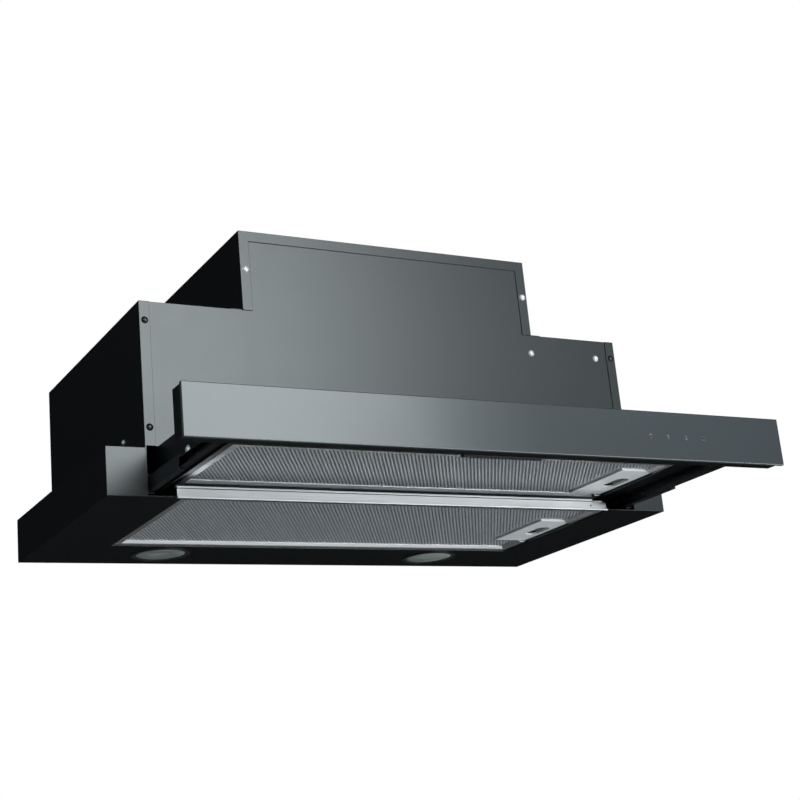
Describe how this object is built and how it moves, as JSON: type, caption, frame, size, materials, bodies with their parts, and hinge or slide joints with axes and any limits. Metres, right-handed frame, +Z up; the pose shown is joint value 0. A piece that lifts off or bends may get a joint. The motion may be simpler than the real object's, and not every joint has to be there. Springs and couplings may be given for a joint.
{
  "type": "pull out range hood",
  "caption": "Telescopic wall-cabinet range hood with a pull-out glass-fronted filter drawer, stepped motor housing, grease filters, lamps and a round duct collar.",
  "frame": {"origin": "centre of the four cabinet screw holes, on the top face of the wings", "axes": "+X across the hood to its right as seen from the front, +Y rearwards to the wall, +Z up to the cabinet"},
  "size_m": [0.598, 0.4693, 0.295],
  "materials": {
    "black_sheet": "satin black powder coat",
    "bright_strip": "brushed",
    "zinc": "zinc plated",
    "black_screw": "blackened steel",
    "alloy": "mill finish",
    "mesh": "expanded grease mesh",
    "black_plastic": "moulded, matt",
    "grey_plastic": "moulded, matt",
    "dark_plastic": "moulded, matt",
    "board": "circuit board",
    "black_rubber": "soft",
    "frosted": "frosted lens",
    "dark_glass": "printed black behind",
    "bright_steel": "bright"
  },
  "bodies": {
    "housing": {"base_tray": "black_sheet", "trim_strip": "bright_strip", "trim_end_cap": "bright_strip", "body_side_left": "black_sheet", "body_side_right": "black_sheet", "front_panel": "black_sheet", "back_panel": "black_sheet", "body_top_plate": "black_sheet", "cross_member": "black_sheet", "motor_cover": "black_sheet", "duct_collar": "black_plastic", "damper_pin": "bright_steel", "blower_wrap": "alloy", "blower_side_left": "alloy", "blower_side_right": "alloy", "motor": "zinc", "motor_bracket": "zinc", "bracket_screws": "zinc", "run_capacitor": "grey_plastic", "control_box": "black_plastic", "control_box_lid": "black_plastic", "control_board": "board", "terminal_block": "grey_plastic", "lamp_driver": "grey_plastic", "cord_grommet": "black_rubber", "lamp_housings": "black_plastic", "lamp_lenses": "frosted", "lamp_boards": "alloy", "slide_outer_members": "black_sheet", "cover_screws": "zinc", "side_screws": "black_screw", "side_wall_screws": "zinc", "collar_screws": "zinc"},
    "drawer": {"drawer_frame": "black_sheet", "filter_clip": "black_plastic", "panel_backing": "black_sheet", "panel_cover": "black_sheet", "glass_panel": "dark_glass", "touch_board": "board", "slide_inner_members": "black_sheet", "slide_rivets": "black_sheet", "drawer_screws": "zinc", "drawer_filter_frame": "alloy", "drawer_filter_mesh": "mesh", "drawer_filter_core": "mesh", "drawer_latch_plate": "grey_plastic", "drawer_latch_spring": "bright_steel"},
    "slide_middles": {"slide_middle_members": "black_sheet"},
    "fan_wheel": {"impeller": "grey_plastic", "motor_shaft": "bright_steel", "impeller_nut": "bright_steel"},
    "flap_front": {"damper_flap_front": "black_plastic"},
    "flap_rear": {"damper_flap_rear": "black_plastic"},
    "base_filter": {"base_filter_frame": "alloy", "base_filter_mesh": "mesh", "base_filter_core": "mesh", "base_latch_plate": "grey_plastic", "base_latch_spring": "bright_steel"},
    "base_latch": {"base_latch": "dark_plastic"},
    "drawer_latch": {"drawer_latch": "dark_plastic"}
  },
  "joints": [
    {"name": "drawer_slide", "type": "slide", "parent": "housing", "child": "drawer", "axis": [0, 1, 0], "range_m": [0, 0.161]},
    {"name": "slide_middle_slide", "type": "slide", "parent": "housing", "child": "slide_middles", "axis": [0, 1, 0], "range_m": [0, 0.0805]},
    {"name": "fan_spin", "type": "hinge", "parent": "housing", "child": "fan_wheel", "pos_m": [0, -0.0325, 0.106], "axis": [1, 0, 0], "continuous": true},
    {"name": "flap_front_hinge", "type": "hinge", "parent": "housing", "child": "flap_front", "pos_m": [0, 0.0075, 0.227], "axis": [-1, 0, 0], "range_deg": [0, 70]},
    {"name": "flap_rear_hinge", "type": "hinge", "parent": "housing", "child": "flap_rear", "pos_m": [0, 0.0075, 0.227], "axis": [1, 0, 0], "range_deg": [0, 70]},
    {"name": "base_filter_tilt", "type": "hinge", "parent": "housing", "child": "base_filter", "pos_m": [-0.2275, -0.0395, -0.043], "axis": [0, 1, 0], "range_deg": [0, 60]},
    {"name": "base_latch_slide", "type": "slide", "parent": "base_filter", "child": "base_latch", "axis": [-1, 0, 0], "range_m": [0, 0.0035], "stiffness_N_per_m": 300, "springref_m": -0.002, "deforming": ["base_latch_spring"]},
    {"name": "drawer_latch_slide", "type": "slide", "parent": "drawer", "child": "drawer_latch", "axis": [-1, 0, 0], "range_m": [0, 0.0035], "stiffness_N_per_m": 300, "springref_m": -0.002, "deforming": ["drawer_latch_spring"]}
  ],
  "couplings": [
    {"joint": "slide_middle_slide", "follows": "drawer_slide", "ratio": 0.5}
  ]
}
